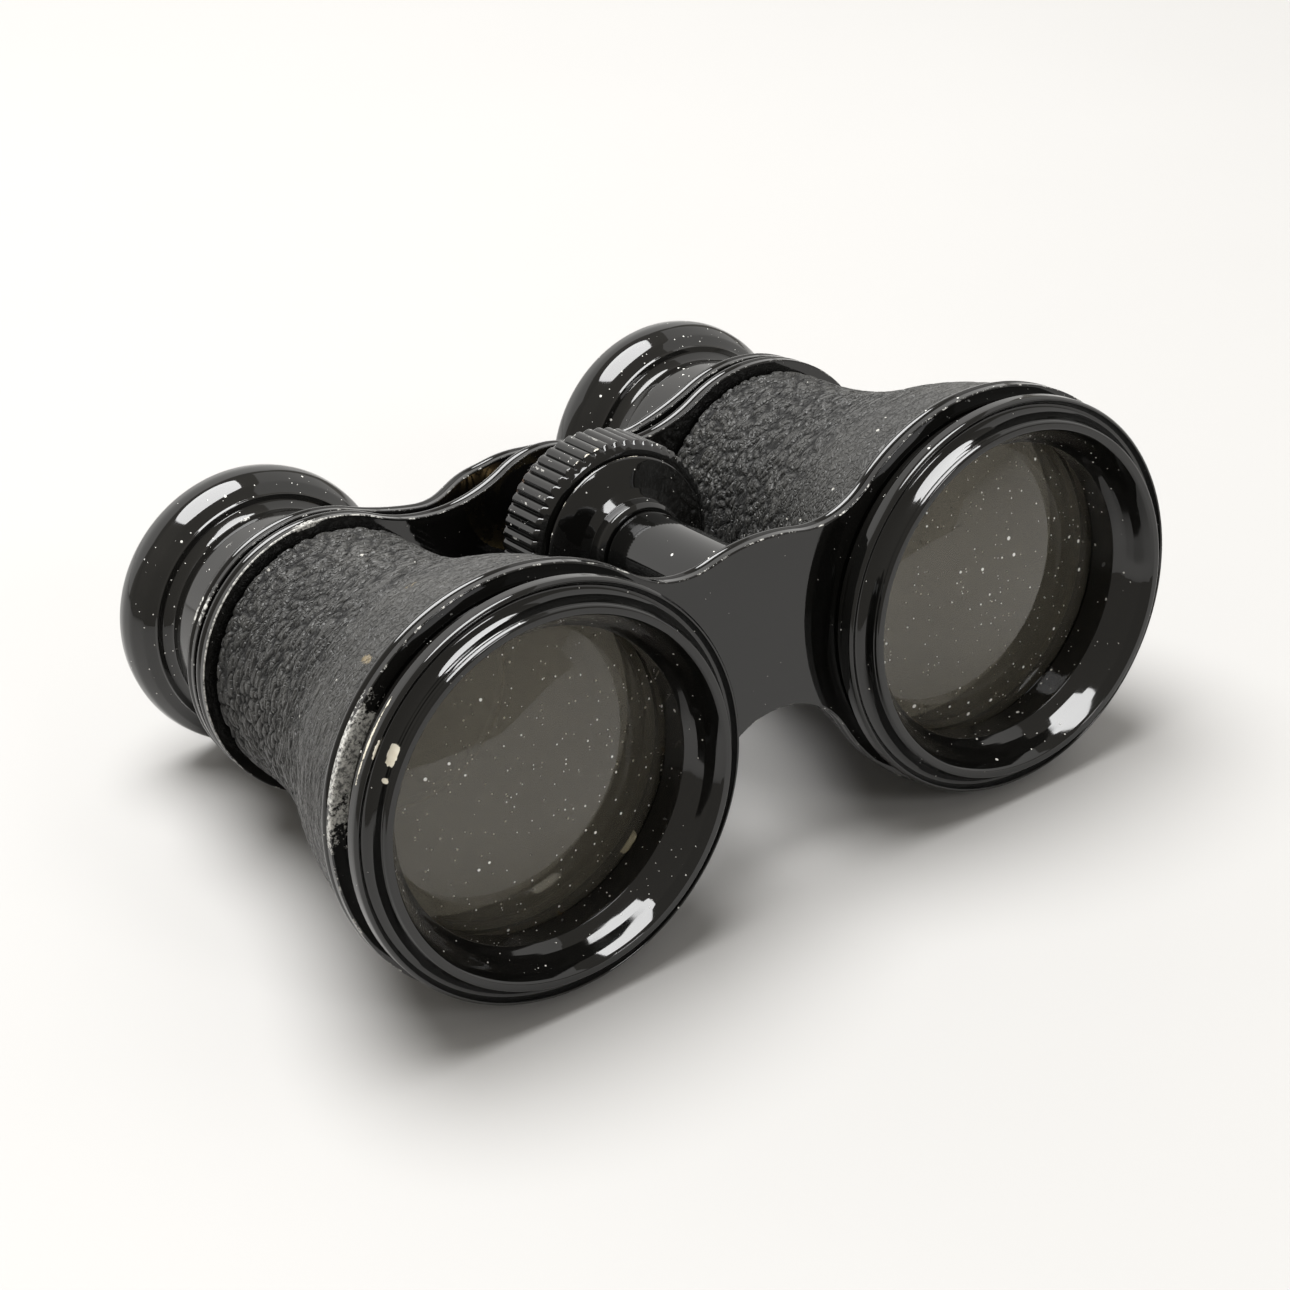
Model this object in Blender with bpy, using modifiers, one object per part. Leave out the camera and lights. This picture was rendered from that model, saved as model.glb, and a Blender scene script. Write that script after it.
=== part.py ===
"""Galilean opera glasses in gloss black metal with leather-covered barrels.

The glasses are drawn first in an optical frame, in millimetres: the optical axes run along Y with
the objectives in front at -Y, X goes across from the left barrel to the right one, and Z is up.
The whole assembly is then tipped back and set down, so that it rests on z = 0 on the two rims of
the front plate and on its two eyecups, as it does on a table.
"""

import math

import bmesh
import bpy
from mathutils import Matrix, Vector

MM = 0.001
SEAT_GAP = 0.3
CUT_MARGIN = 0.1

# Spacing and stations along the optical axis.
AXIS_SPACING = 62.0
HALF_SPACING = AXIS_SPACING / 2
LIP_FRONT = -2.5
PLATE_FRONT = 3.6
PLATE_BACK = 5.9
REAR_PLATE_FRONT = 46.9
REAR_PLATE_BACK = 49.3
EYE_PLATE_FRONT = 49.9
EYE_PLATE_BACK = 52.1
EYECUP_RIM = 67.8

# Radii of the flanges that ring the barrels, and the shapes of the webs between them.
# A dip is the (x, z) of the lowest point of the hollow beside the hump in the middle.
FRONT_FLANGE_R = 23.9
REAR_FLANGE_R = 17.0
EYE_FLANGE_R = 16.8
FRONT_DIP = (8.5, 15.6)
FRONT_HUMP = 16.7
FRONT_ARCH = -3.7
REAR_DIP = (13.8, 12.6)
REAR_HUMP = 16.0
REAR_ARCH = -2.0
EYE_DIP = (8.5, 12.1)
EYE_HUMP = 12.75
# The eyepiece plate bows back between the barrels: how far, its flat middle and its reach.
EYE_BOW = 5.6
EYE_BOW_FLAT = 4.5
EYE_BOW_REACH = 16.0
FRONT_HOLE_R = 21.5
REAR_HOLE_R = 14.0
EYE_HOLE_R = 12.9

# Outside of the leather: front edge, point of inflection and waist, as (y, radius, slope).
BARREL_KNOTS = ((6.2, 23.2, -0.15), (18.5, 20.3, -0.40), (42.0, 15.75, 0.0))
LEATHER_BACK = 46.5
LEATHER_WALL = 0.7
BARREL_WALL = 0.7
GLUE_GAP = 0.15
BARREL_STATIONS = 6
SPIGOT_FRONT = 4.0
SPIGOT_R = 21.1
SPIGOT_BORE = 20.3
SLEEVE_FRONT = 36.0
SLEEVE_NECK_R = 13.7
SLEEVE_BORE = 12.9

# Objective: lens radius, and the (y, bulge) of each face of its two glasses.
OBJECTIVE_R = 18.4
CROWN_FACES = ((6.1, 2.5), (7.6, -2.6))
FLINT_FACES = ((8.0, -2.6), (12.2, 0.0))
EYE_LENS_R = 9.5
EYE_LENS_FACES = ((60.6, -1.0), (63.6, 1.0))

# Draw tube and eyecup.
DRAW_FRONT = 30.0
DRAW_BACK = 59.7
DRAW_R = 12.6
DRAW_BORE = 11.8
EYECUP_R = 17.45
EYECUP_COLLAR_R = 14.9
EYECUP_NECK_R = 14.0

# Centre column and focus wheel.
COLUMN_Z = 8.2
COLUMN_R = 5.2
COLUMN_BORE = 4.2
REAR_SLEEVE_FRONT = 39.7
REAR_SLEEVE_R = 5.0
REAR_SLEEVE_BORE = 3.2
WASHER_FRONT = 38.8
WASHER_BACK = 39.4
WASHER_R = 7.4
WHEEL_R = 12.2
WHEEL_TOOTH = 0.55
WHEEL_TEETH = 54
WHEEL_FRONT = 31.0
WHEEL_BACK = 38.5
WHEEL_BORE = 8.6
HUB_FRONT = 26.9
HUB_BACK = 38.4
HUB_STEM_R = 8.3
HUB_BORE = 4.6
NUT_R = 4.3
NUT_BORE = 2.8
NUT_INSET = 0.4
ROD_FRONT = 13.5
ROD_R = 2.5
ROD_END_R = 1.9
ROD_SOCKET_FRONT = 52.1
ROD_SOCKET_R = 1.3
STOP_FRONT = 14.0
STOP_BACK = 17.1
STOP_R = 3.8
SCREW_FRONT = 52.6
SCREW_BACK = 59.5
SCREW_HEAD_R = 3.6
SCREW_SLOT = (1.4, 0.4)

# Steps round a turned piece and a small turned piece, and the angle of a hard edge.
ROUND = 28
SMALL_ROUND = 20
HARD_EDGE = math.radians(35)


def material(name, colour, roughness, metallic, alpha=1.0):
    made = bpy.data.materials.new(name)
    made.use_nodes = True
    shader = made.node_tree.nodes["Principled BSDF"]
    shader.inputs["Base Color"].default_value = (*colour, 1.0)
    shader.inputs["Roughness"].default_value = roughness
    shader.inputs["Metallic"].default_value = metallic
    shader.inputs["Alpha"].default_value = alpha
    return made


def clear_scene():
    for obj in list(bpy.data.objects):
        bpy.data.objects.remove(obj, do_unlink=True)


def new_collection(name):
    made = bpy.data.collections.new(name)
    bpy.context.scene.collection.children.link(made)
    return made


def put(name, data, look, collection, parent=None):
    obj = bpy.data.objects.new(name, data)
    data.materials.append(look)
    collection.objects.link(obj)
    obj.parent = parent
    return obj


def turned(name, profile, steps, look, collection, parent, centre=(0.0, 0.0), closed=True):
    """A piece turned about its own Z, which points to the front of the glasses.

    profile lists (y, radius) down the outer side from front to back and up the inner side.
    centre is the (x, z) of the axis that it is turned about.
    """
    mesh = bpy.data.meshes.new(name)
    shape = bmesh.new()
    rim = [shape.verts.new((radius * MM, 0.0, -y * MM)) for y, radius in profile]
    for start, end in zip(rim, rim[1:]):
        shape.edges.new((start, end))
    if closed:
        shape.edges.new((rim[-1], rim[0]))
    shape.to_mesh(mesh)
    shape.free()
    obj = put(name, mesh, look, collection, parent)
    obj.location = (centre[0] * MM, 0.0, centre[1] * MM)
    obj.rotation_euler = (math.pi / 2, 0.0, 0.0)
    screw = obj.modifiers.new("turn", "SCREW")
    screw.axis = "Z"
    screw.angle = 2 * math.pi
    screw.steps = steps
    screw.render_steps = steps
    screw.use_merge_vertices = True
    screw.merge_threshold = 1e-6
    screw.use_smooth_shade = True
    return obj


def flat(name, loops, front, back, look, collection, parent, centre=(0.0, 0.0)):
    """A flat piece cut to an outline, with holes, between two stations of the optical axis."""
    curve = bpy.data.curves.new(name, "CURVE")
    curve.dimensions = "2D"
    curve.fill_mode = "BOTH"
    curve.extrude = (back - front) / 2 * MM
    for loop in loops:
        spline = curve.splines.new("POLY")
        spline.points.add(len(loop) - 1)
        for point, (x, z) in zip(spline.points, loop):
            point.co = (x * MM, z * MM, 0.0, 1.0)
        spline.use_cyclic_u = True
    obj = put(name, curve, look, collection, parent)
    obj.location = (centre[0] * MM, (front + back) / 2 * MM, centre[1] * MM)
    obj.rotation_euler = (math.pi / 2, 0.0, 0.0)
    return obj


def circle(centre, radius, count):
    turn = 2 * math.pi / count
    return [
        (centre[0] + radius * math.cos(i * turn), centre[1] + radius * math.sin(i * turn))
        for i in range(count)
    ]


def arc(centre, radius, start, end, count):
    """Points on a circle from one angle to another, both ends included."""
    return [
        (
            centre[0] + radius * math.cos(start + (end - start) * i / count),
            centre[1] + radius * math.sin(start + (end - start) * i / count),
        )
        for i in range(count + 1)
    ]


def dip_radius(flange, dip):
    """Radius of the hollow arc with its lowest point at dip that touches the flange's circle."""
    across = HALF_SPACING - dip[0]
    return (across**2 + dip[1] ** 2 - flange**2) / (2 * (flange - dip[1]))


def hump_radius(dip, hollow, top):
    """Radius of the middle arc with its top at the given height that touches the hollow arcs."""
    rise = dip[1] + hollow - top
    return (dip[0] ** 2 + rise**2 - hollow**2) / (2 * (hollow - rise))


def arch_radius(flange, apex):
    """Radius of the arch between the barrels, with its apex at the given height."""
    return (HALF_SPACING**2 + apex**2 - flange**2) / (2 * (flange + apex))


def figure_of_eight(flange, dip, top, apex):
    """Outline of a plate that rings both barrels, made of arcs that touch one another.

    One half runs from the arch's apex round the flange and the hollow to the top of the hump.
    """
    hollow = dip_radius(flange, dip)
    hump = hump_radius(dip, hollow, top)
    arch = arch_radius(flange, apex)
    hollow_centre = (dip[0], dip[1] + hollow)
    hump_centre = (0.0, top - hump)
    arch_centre = (0.0, apex - arch)
    to_hollow = math.atan2(hollow_centre[1], hollow_centre[0] - HALF_SPACING)
    to_arch = math.atan2(arch_centre[1], -HALF_SPACING)
    join = math.atan2(hump_centre[1] - hollow_centre[1], -hollow_centre[0])
    low = -math.pi / 2
    half = arc(arch_centre, arch, math.pi / 2, to_arch + math.pi, 6)[:-1]
    half += arc((HALF_SPACING, 0.0), flange, to_arch, low, 4)[:-1]
    half += arc((HALF_SPACING, 0.0), flange, low, to_hollow, 15)
    half += arc(hollow_centre, hollow, to_hollow - math.pi, join, 5)[1:]
    half += arc(hump_centre, hump, join + math.pi, math.pi / 2, 3)[1:]
    return half + [(-x, z) for x, z in reversed(half[1:-1])]


def toothed(radius, tooth, teeth):
    """Outline of a straight knurl: flat-topped teeth with sloping flanks."""
    pitch = 2 * math.pi / teeth
    points = []
    for i in range(teeth):
        for part, height in ((0.0, 0.0), (0.35, tooth), (0.65, tooth)):
            angle = (i + part) * pitch
            reach = radius - tooth + height
            points.append((reach * math.cos(angle), reach * math.sin(angle)))
    return points


def hermite(y, start, end):
    span = end[0] - start[0]
    u = (y - start[0]) / span
    return (
        (2 * u**3 - 3 * u**2 + 1) * start[1]
        + (u**3 - 2 * u**2 + u) * span * start[2]
        + (3 * u**2 - 2 * u**3) * end[1]
        + (u**3 - u**2) * span * end[2]
    )


def barrel_radius(y):
    """Outside radius of the leather: a bell that runs into a straight waist."""
    front, middle, waist = BARREL_KNOTS
    if y >= waist[0]:
        return waist[1]
    if y >= middle[0]:
        return hermite(y, middle, waist)
    return hermite(max(y, front[0]), front, middle)


def shell(outside, inside, start, end, stations):
    """Closed profile between two radius functions."""
    steps = [start + (end - start) * i / stations for i in range(stations + 1)]
    outer = [(y, outside(y)) for y in steps]
    inner = [(y, inside(y)) for y in reversed(steps)]
    return outer + inner


def lens(faces, radius, rings):
    """Profile of a lens from the (y, bulge) of its front and back faces. y is where the face
    meets the edge, and the bulge is the height of its middle above that, towards the front."""
    profile = []
    for edge, bulge in faces:
        shares = [i / rings for i in range(rings + 1)]
        profile.append([(edge - bulge * (1 - share**2), radius * share) for share in shares])
    front, back = profile
    return front + list(reversed(back))


def cut(obj, cutter, operation="DIFFERENCE"):
    boolean = obj.modifiers.new("cut", "BOOLEAN")
    boolean.operation = operation
    boolean.solver = "EXACT"
    boolean.object = cutter


def prism(name, loop, along, look, collection, parent):
    """A solid that carries an outline of (x, y, z) points along a vector."""
    mesh = bpy.data.meshes.new(name)
    shape = bmesh.new()
    face = shape.faces.new([shape.verts.new(Vector(point) * MM) for point in loop])
    far = bmesh.ops.extrude_face_region(shape, geom=[face])["geom"]
    far = [item for item in far if isinstance(item, bmesh.types.BMVert)]
    bmesh.ops.translate(shape, verts=far, vec=Vector(along) * MM)
    bmesh.ops.recalc_face_normals(shape, faces=shape.faces)
    shape.to_mesh(mesh)
    shape.free()
    return put(name, mesh, look, collection, parent)


def as_cutter(obj):
    obj.hide_render = True
    obj.display_type = "WIRE"
    return obj


def box_cutter(name, size, location, collection, parent):
    mesh = bpy.data.meshes.new(name)
    shape = bmesh.new()
    scale = Matrix.Diagonal((size[0] * MM, size[1] * MM, size[2] * MM, 1.0))
    bmesh.ops.create_cube(shape, size=1.0, matrix=scale)
    shape.to_mesh(mesh)
    shape.free()
    obj = bpy.data.objects.new(name, mesh)
    collection.objects.link(obj)
    obj.parent = parent
    obj.location = Vector(location) * MM
    obj.hide_render = True
    obj.display_type = "WIRE"
    return obj


def tube(front, back, radius, bore):
    """Profile of a plain tube or ring."""
    return [(front, radius), (back, radius), (back, bore), (front, bore)]


def objective_end(side, x, looks, parts, frame):
    """Bezel, doublet objective and the ring that holds it, in front of one barrel."""
    at = (x, 0.0)
    base = PLATE_FRONT - SEAT_GAP
    bezel = [
        (LIP_FRONT, 20.35),
        (-1.4, 22.1),
        (-0.3, 23.2),
        (1.0, 23.4),
        (1.9, 22.4),
        (base, 22.0),
        (base, 19.7),
        (13.9, 19.7),
        (13.9, 18.8),
        (5.9, 18.8),
        (5.6, 17.6),
        (2.0, 17.6),
        (0.2, 18.8),
        (LIP_FRONT, 19.55),
    ]
    crown = lens(CROWN_FACES, OBJECTIVE_R, 3)
    flint = lens(FLINT_FACES, OBJECTIVE_R, 3)
    keeper = tube(12.6, 13.7, OBJECTIVE_R, 17.3)
    turned("objective_ring_" + side, bezel, ROUND, looks["lacquer"], parts, frame, at)
    turned("objective_crown_" + side, crown, ROUND, looks["glass"], parts, frame, at, closed=False)
    turned("objective_flint_" + side, flint, ROUND, looks["glass"], parts, frame, at, closed=False)
    turned("objective_retainer_" + side, keeper, ROUND, looks["blackened"], parts, frame, at)


def barrel_end(side, x, looks, parts, frame):
    """Brass barrel, its leather and the sleeve at its back that guides the draw tube."""
    at = (x, 0.0)
    skin = LEATHER_WALL + GLUE_GAP
    leather_front = BARREL_KNOTS[0][0]

    def under_leather(y):
        return barrel_radius(y) - skin

    def barrel_bore(y):
        return min(SPIGOT_BORE, under_leather(y) - BARREL_WALL)

    leather = shell(
        barrel_radius,
        lambda y: barrel_radius(y) - LEATHER_WALL,
        leather_front,
        LEATHER_BACK,
        BARREL_STATIONS,
    )
    bell = shell(under_leather, barrel_bore, leather_front, LEATHER_BACK, BARREL_STATIONS)
    spigot = [(SPIGOT_FRONT, SPIGOT_R), (leather_front - 0.05, SPIGOT_R)]
    barrel = spigot + bell + [(SPIGOT_FRONT, SPIGOT_BORE)]
    outside = barrel_bore(LEATHER_BACK) - GLUE_GAP
    seat = REAR_PLATE_FRONT - SEAT_GAP
    sleeve = [
        (SLEEVE_FRONT, outside),
        (seat, outside),
        (seat, SLEEVE_NECK_R),
        (REAR_PLATE_BACK - CUT_MARGIN, SLEEVE_NECK_R),
        (REAR_PLATE_BACK - CUT_MARGIN, SLEEVE_BORE),
        (SLEEVE_FRONT, SLEEVE_BORE),
    ]
    turned("leather_" + side, leather, ROUND, looks["leather"], parts, frame, at)
    turned("barrel_" + side, barrel, ROUND, looks["brass"], parts, frame, at)
    turned("guide_sleeve_" + side, sleeve, ROUND, looks["brass"], parts, frame, at)


def eyepiece_end(side, x, looks, parts, frame):
    """Draw tube, eyecup, and the eye lens in its cell."""
    at = (x, 0.0)
    seat = EYE_PLATE_BACK + SEAT_GAP
    cup = [
        (seat, EYECUP_COLLAR_R),
        (53.6, EYECUP_COLLAR_R),
        (53.9, EYECUP_NECK_R),
        (60.4, EYECUP_NECK_R),
        (61.4, 13.4),
        (63.6, 15.1),
        (65.4, 16.8),
        (EYECUP_RIM, EYECUP_R),
        (70.2, 16.7),
        (71.4, 14.9),
        (70.6, 12.0),
        (67.6, 7.6),
        (65.2, 7.6),
        (65.2, 11.1),
        (60.0, 11.1),
        (60.0, EYE_HOLE_R),
        (seat, EYE_HOLE_R),
    ]
    cell = [(60.3, 10.8), (64.9, 10.8), (64.9, 8.7), (63.9, 8.7), (63.9, 9.9), (60.3, 9.9)]
    draw = tube(DRAW_FRONT, DRAW_BACK, DRAW_R, DRAW_BORE)
    eye = lens(EYE_LENS_FACES, EYE_LENS_R, 2)
    turned("draw_tube_" + side, draw, ROUND, looks["brass"], parts, frame, at)
    turned("eyecup_" + side, cup, ROUND, looks["lacquer"], parts, frame, at)
    turned("eyepiece_cell_" + side, cell, SMALL_ROUND, looks["blackened"], parts, frame, at)
    turned("eyepiece_lens_" + side, eye, SMALL_ROUND, looks["glass"], parts, frame, at, closed=False)


def bow(x):
    """How far back the eyepiece plate stands at x: flat at the middle and at the barrels."""
    share = (abs(x) - EYE_BOW_FLAT) / (EYE_BOW_REACH - EYE_BOW_FLAT)
    share = min(max(share, 0.0), 1.0)
    return EYE_BOW * (1 + math.cos(math.pi * share)) / 2


def eyepiece_plate(looks, parts, cutters, frame):
    """The plate that carries the eyepieces, cut from a slab that is bent back at its middle."""
    span = HALF_SPACING + EYE_FLANGE_R + 1.0
    steps = 8
    ramp = [EYE_BOW_REACH + (EYE_BOW_FLAT - EYE_BOW_REACH) * i / steps for i in range(steps + 1)]
    stations = [-span] + [-x for x in ramp] + list(reversed(ramp)) + [span]
    height = EYE_FLANGE_R + 1.0
    front = [(x, EYE_PLATE_FRONT + bow(x), -height) for x in stations]
    back = [(x, EYE_PLATE_BACK + bow(x), -height) for x in reversed(stations)]
    up = (0.0, 0.0, 2 * height)
    lacquer = looks["lacquer"]
    plate = prism("eyepiece_bridge", front + back, up, lacquer, parts, frame)
    outline = figure_of_eight(EYE_FLANGE_R, EYE_DIP, EYE_HUMP, REAR_ARCH)
    start = EYE_PLATE_FRONT - 1.0
    depth = EYE_PLATE_BACK + EYE_BOW + 1.0 - start
    loop = [(x, start, z) for x, z in outline]
    blank = prism("eyepiece_blank", loop, (0.0, depth, 0.0), lacquer, cutters, frame)
    cut(plate, as_cutter(blank), "INTERSECT")
    bores = [((-HALF_SPACING, 0.0), EYE_HOLE_R, ROUND), ((HALF_SPACING, 0.0), EYE_HOLE_R, ROUND)]
    bores.append(((0.0, COLUMN_Z), ROD_END_R + 0.4, SMALL_ROUND))
    for number, (centre, radius, count) in enumerate(bores):
        name = "eyepiece_bore_" + str(number)
        loop = [(x, start, z) for x, z in circle(centre, radius, count)]
        cut(plate, as_cutter(prism(name, loop, (0.0, depth, 0.0), lacquer, cutters, frame)))


def plates(looks, parts, cutters, frame):
    """The two body plates and the plate that carries the eyepieces."""
    column_at = (0.0, COLUMN_Z)
    front = [figure_of_eight(FRONT_FLANGE_R, FRONT_DIP, FRONT_HUMP, FRONT_ARCH)]
    rear = [figure_of_eight(REAR_FLANGE_R, REAR_DIP, REAR_HUMP, REAR_ARCH)]
    for x in (-HALF_SPACING, HALF_SPACING):
        front.append(circle((x, 0.0), FRONT_HOLE_R, ROUND))
        rear.append(circle((x, 0.0), REAR_HOLE_R, ROUND))
    rear.append(circle(column_at, ROD_R + 0.6, SMALL_ROUND))
    lacquer = looks["lacquer"]
    flat("front_bridge", front, PLATE_FRONT, PLATE_BACK, lacquer, parts, frame)
    flat("rear_bridge", rear, REAR_PLATE_FRONT, REAR_PLATE_BACK, lacquer, parts, frame)
    eyepiece_plate(looks, parts, cutters, frame)


def column(looks, parts, frame):
    """The fixed tubes of the centre column and the washer behind the wheel."""
    at = (0.0, COLUMN_Z)
    front_tube = tube(PLATE_BACK + SEAT_GAP, HUB_FRONT - SEAT_GAP, COLUMN_R, COLUMN_BORE)
    sleeve_back = REAR_PLATE_FRONT - SEAT_GAP
    sleeve = tube(REAR_SLEEVE_FRONT, sleeve_back, REAR_SLEEVE_R, REAR_SLEEVE_BORE)
    washer = tube(WASHER_FRONT, WASHER_BACK, WASHER_R, REAR_SLEEVE_BORE)
    turned("column_tube", front_tube, SMALL_ROUND, looks["lacquer"], parts, frame, at)
    turned("rear_sleeve", sleeve, SMALL_ROUND, looks["lacquer"], parts, frame, at)
    turned("wheel_washer", washer, SMALL_ROUND, looks["bare_brass"], parts, frame, at)


def wheel(looks, parts, frame):
    """Knurled wheel on its bell-shaped hub, with the threaded nut inside."""
    at = (0.0, COLUMN_Z)
    bore = circle((0.0, 0.0), WHEEL_BORE, SMALL_ROUND)
    rim = [toothed(WHEEL_R, WHEEL_TOOTH, WHEEL_TEETH), bore]
    shoulder = WHEEL_FRONT - SEAT_GAP
    hub = [
        (HUB_FRONT, 5.3),
        (28.4, 6.2),
        (29.6, 7.9),
        (30.4, 10.6),
        (shoulder, 10.6),
        (shoulder, HUB_STEM_R),
        (HUB_BACK, HUB_STEM_R),
        (HUB_BACK, HUB_BORE),
        (HUB_FRONT, HUB_BORE),
    ]
    nut = tube(HUB_FRONT + NUT_INSET, HUB_BACK - NUT_INSET / 2, NUT_R, NUT_BORE)
    flat("focus_wheel", rim, WHEEL_FRONT, WHEEL_BACK, looks["lacquer"], parts, frame, at)
    turned("wheel_hub", hub, SMALL_ROUND, looks["lacquer"], parts, frame, at)
    turned("focus_nut", nut, SMALL_ROUND, looks["bare_brass"], parts, frame, at)


def drive(looks, parts, cutters, frame):
    """The threaded rod that the wheel drives, its stop and the screw that holds it."""
    at = (0.0, COLUMN_Z)
    rod_back = EYE_PLATE_BACK + EYE_BOW - CUT_MARGIN
    neck_front = EYE_PLATE_FRONT + EYE_BOW - SEAT_GAP
    stop_neck = STOP_BACK + SEAT_GAP
    rod = [
        (ROD_FRONT, 0.0),
        (ROD_FRONT, ROD_END_R),
        (stop_neck, ROD_END_R),
        (stop_neck, ROD_R),
        (neck_front, ROD_R),
        (neck_front, ROD_END_R),
        (rod_back, ROD_END_R),
        (rod_back, ROD_SOCKET_R),
        (ROD_SOCKET_FRONT, ROD_SOCKET_R),
        (ROD_SOCKET_FRONT, 0.0),
    ]
    stop = tube(STOP_FRONT, STOP_BACK, STOP_R, ROD_END_R + SEAT_GAP)
    shank_r = ROD_SOCKET_R - SEAT_GAP
    head_front = EYE_PLATE_BACK + EYE_BOW + SEAT_GAP
    screw = [
        (SCREW_FRONT, 0.0),
        (SCREW_FRONT, shank_r),
        (head_front, shank_r),
        (head_front, SCREW_HEAD_R),
        (SCREW_BACK - 0.5, SCREW_HEAD_R),
        (SCREW_BACK, SCREW_HEAD_R - 0.6),
        (SCREW_BACK, 0.0),
    ]
    brass = looks["bare_brass"]
    turned("focus_screw", rod, SMALL_ROUND, brass, parts, frame, at, closed=False)
    turned("stop_collar", stop, SMALL_ROUND, brass, parts, frame, at)
    head = turned(
        "bridge_screw", screw, SMALL_ROUND, looks["lacquer"], parts, frame, at, closed=False
    )
    depth, width = SCREW_SLOT
    slot_size = (3 * SCREW_HEAD_R, 2 * depth, 2 * width)
    cut(head, box_cutter("screw_slot", slot_size, (0.0, SCREW_BACK, COLUMN_Z), cutters, frame))


def shade_smooth(parts):
    """Makes each turned piece a plain mesh, smooth all round with its corners left hard."""
    graph = bpy.context.evaluated_depsgraph_get()
    for obj in parts.objects:
        if obj.type != "MESH":
            continue
        mesh = bpy.data.meshes.new_from_object(obj.evaluated_get(graph))
        obj.modifiers.clear()
        obj.data = mesh
        mesh.shade_smooth()
        mesh.set_sharp_from_angle(angle=HARD_EDGE)


def set_down(frame):
    """Tips the glasses back until the front rims and the eyecups share one level, then moves
    the frame so that the base is on z = 0 with its middle above the origin."""
    drop = FRONT_FLANGE_R - EYECUP_R
    tilt = math.atan2(drop, EYECUP_RIM - PLATE_BACK)
    frame.rotation_euler = (-tilt, 0.0, 0.0)
    height = PLATE_BACK * math.sin(tilt) + FRONT_FLANGE_R * math.cos(tilt)
    frame.location = (0.0, 0.0, height * MM)
    bpy.context.view_layer.update()
    ends = []
    for obj in frame.children:
        if obj.type == "MESH" and not obj.hide_render:
            ends += [(obj.matrix_world @ vertex.co).y for vertex in obj.data.vertices]
    frame.location.y = -(min(ends) + max(ends)) / 2


def build():
    clear_scene()
    looks = {
        "lacquer": material("black_lacquer", (0.012, 0.012, 0.011), 0.12, 0.0),
        "leather": material("black_leather", (0.03, 0.03, 0.029), 0.55, 0.0),
        "glass": material("lens_glass", (0.6, 0.6, 0.58), 0.03, 0.0, 0.35),
        "brass": material("barrel_brass", (0.45, 0.33, 0.15), 0.35, 1.0),
        "bare_brass": material("bare_brass", (0.55, 0.41, 0.18), 0.3, 1.0),
        "blackened": material("blackened_brass", (0.02, 0.02, 0.02), 0.6, 0.3),
    }
    parts = new_collection("opera_glasses")
    cutters = new_collection("opera_glasses_cutters")
    cutters.hide_render = True
    frame = bpy.data.objects.new("opera_glasses_frame", None)
    parts.objects.link(frame)
    for side, x in (("left", -HALF_SPACING), ("right", HALF_SPACING)):
        objective_end(side, x, looks, parts, frame)
        barrel_end(side, x, looks, parts, frame)
        eyepiece_end(side, x, looks, parts, frame)
    plates(looks, parts, cutters, frame)
    column(looks, parts, frame)
    wheel(looks, parts, frame)
    drive(looks, parts, cutters, frame)
    shade_smooth(parts)
    set_down(frame)


build()
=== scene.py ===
"""Looks of the opera glasses: turned lacquer and brass, wrinkled leather, glass, table and light.

Every shape is drawn in the optical frame of the glasses, in millimetres: the optical axes run
along Y with the objectives at -Y, X goes across from left to right and Z is up. PLACE carries
that frame to the row frame, where the glasses rest on z = 0.
"""

import math

import bmesh
import bpy
import numpy as np
from mathutils import Matrix, Vector, noise
from mathutils.geometry import delaunay_2d_cdt


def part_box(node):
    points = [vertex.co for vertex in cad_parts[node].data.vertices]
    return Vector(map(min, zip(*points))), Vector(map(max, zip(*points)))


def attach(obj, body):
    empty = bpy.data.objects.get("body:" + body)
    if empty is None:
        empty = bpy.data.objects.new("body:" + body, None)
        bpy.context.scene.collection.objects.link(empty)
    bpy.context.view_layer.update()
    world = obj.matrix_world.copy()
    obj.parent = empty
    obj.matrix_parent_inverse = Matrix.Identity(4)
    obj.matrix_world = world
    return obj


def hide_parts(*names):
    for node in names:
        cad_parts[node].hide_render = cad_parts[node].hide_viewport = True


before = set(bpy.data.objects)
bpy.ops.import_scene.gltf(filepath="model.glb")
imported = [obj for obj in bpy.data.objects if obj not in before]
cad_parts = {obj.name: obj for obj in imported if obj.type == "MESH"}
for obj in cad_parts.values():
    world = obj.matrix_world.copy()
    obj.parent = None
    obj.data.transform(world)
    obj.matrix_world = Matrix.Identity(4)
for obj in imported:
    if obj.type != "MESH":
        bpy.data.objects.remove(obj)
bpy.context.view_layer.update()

MM = 0.001

# Driving sizes of the glasses, as in the CAD.
HALF_SPACING = 31.0
LIP_FRONT = -2.45
PLATE_FRONT = 3.6
PLATE_BACK = 5.9
REAR_PLATE_FRONT = 46.9
REAR_PLATE_BACK = 49.3
EYE_PLATE_FRONT = 49.9
EYE_PLATE_BACK = 52.1
EYECUP_RIM = 67.8
FRONT_FLANGE_R = 23.9
REAR_FLANGE_R = 17.0
EYE_FLANGE_R = 16.8
EYECUP_R = 17.45
FRONT_DIP = (8.5, 15.6)
FRONT_HUMP = 16.7
FRONT_ARCH = -3.7
REAR_DIP = (13.8, 12.6)
REAR_HUMP = 16.0
REAR_ARCH = -2.0
EYE_DIP = (8.5, 12.1)
EYE_HUMP = 12.75
EYE_BOW = 5.6
EYE_BOW_FLAT = 4.5
EYE_BOW_REACH = 16.0
BARREL_KNOTS = ((6.2, 23.2, -0.15), (18.5, 20.3, -0.40), (42.0, 15.75, 0.0))
LEATHER_BACK = 46.5
COLUMN_Z = 8.2
COLUMN_R = 5.2
COLUMN_FRONT = 6.2
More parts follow.
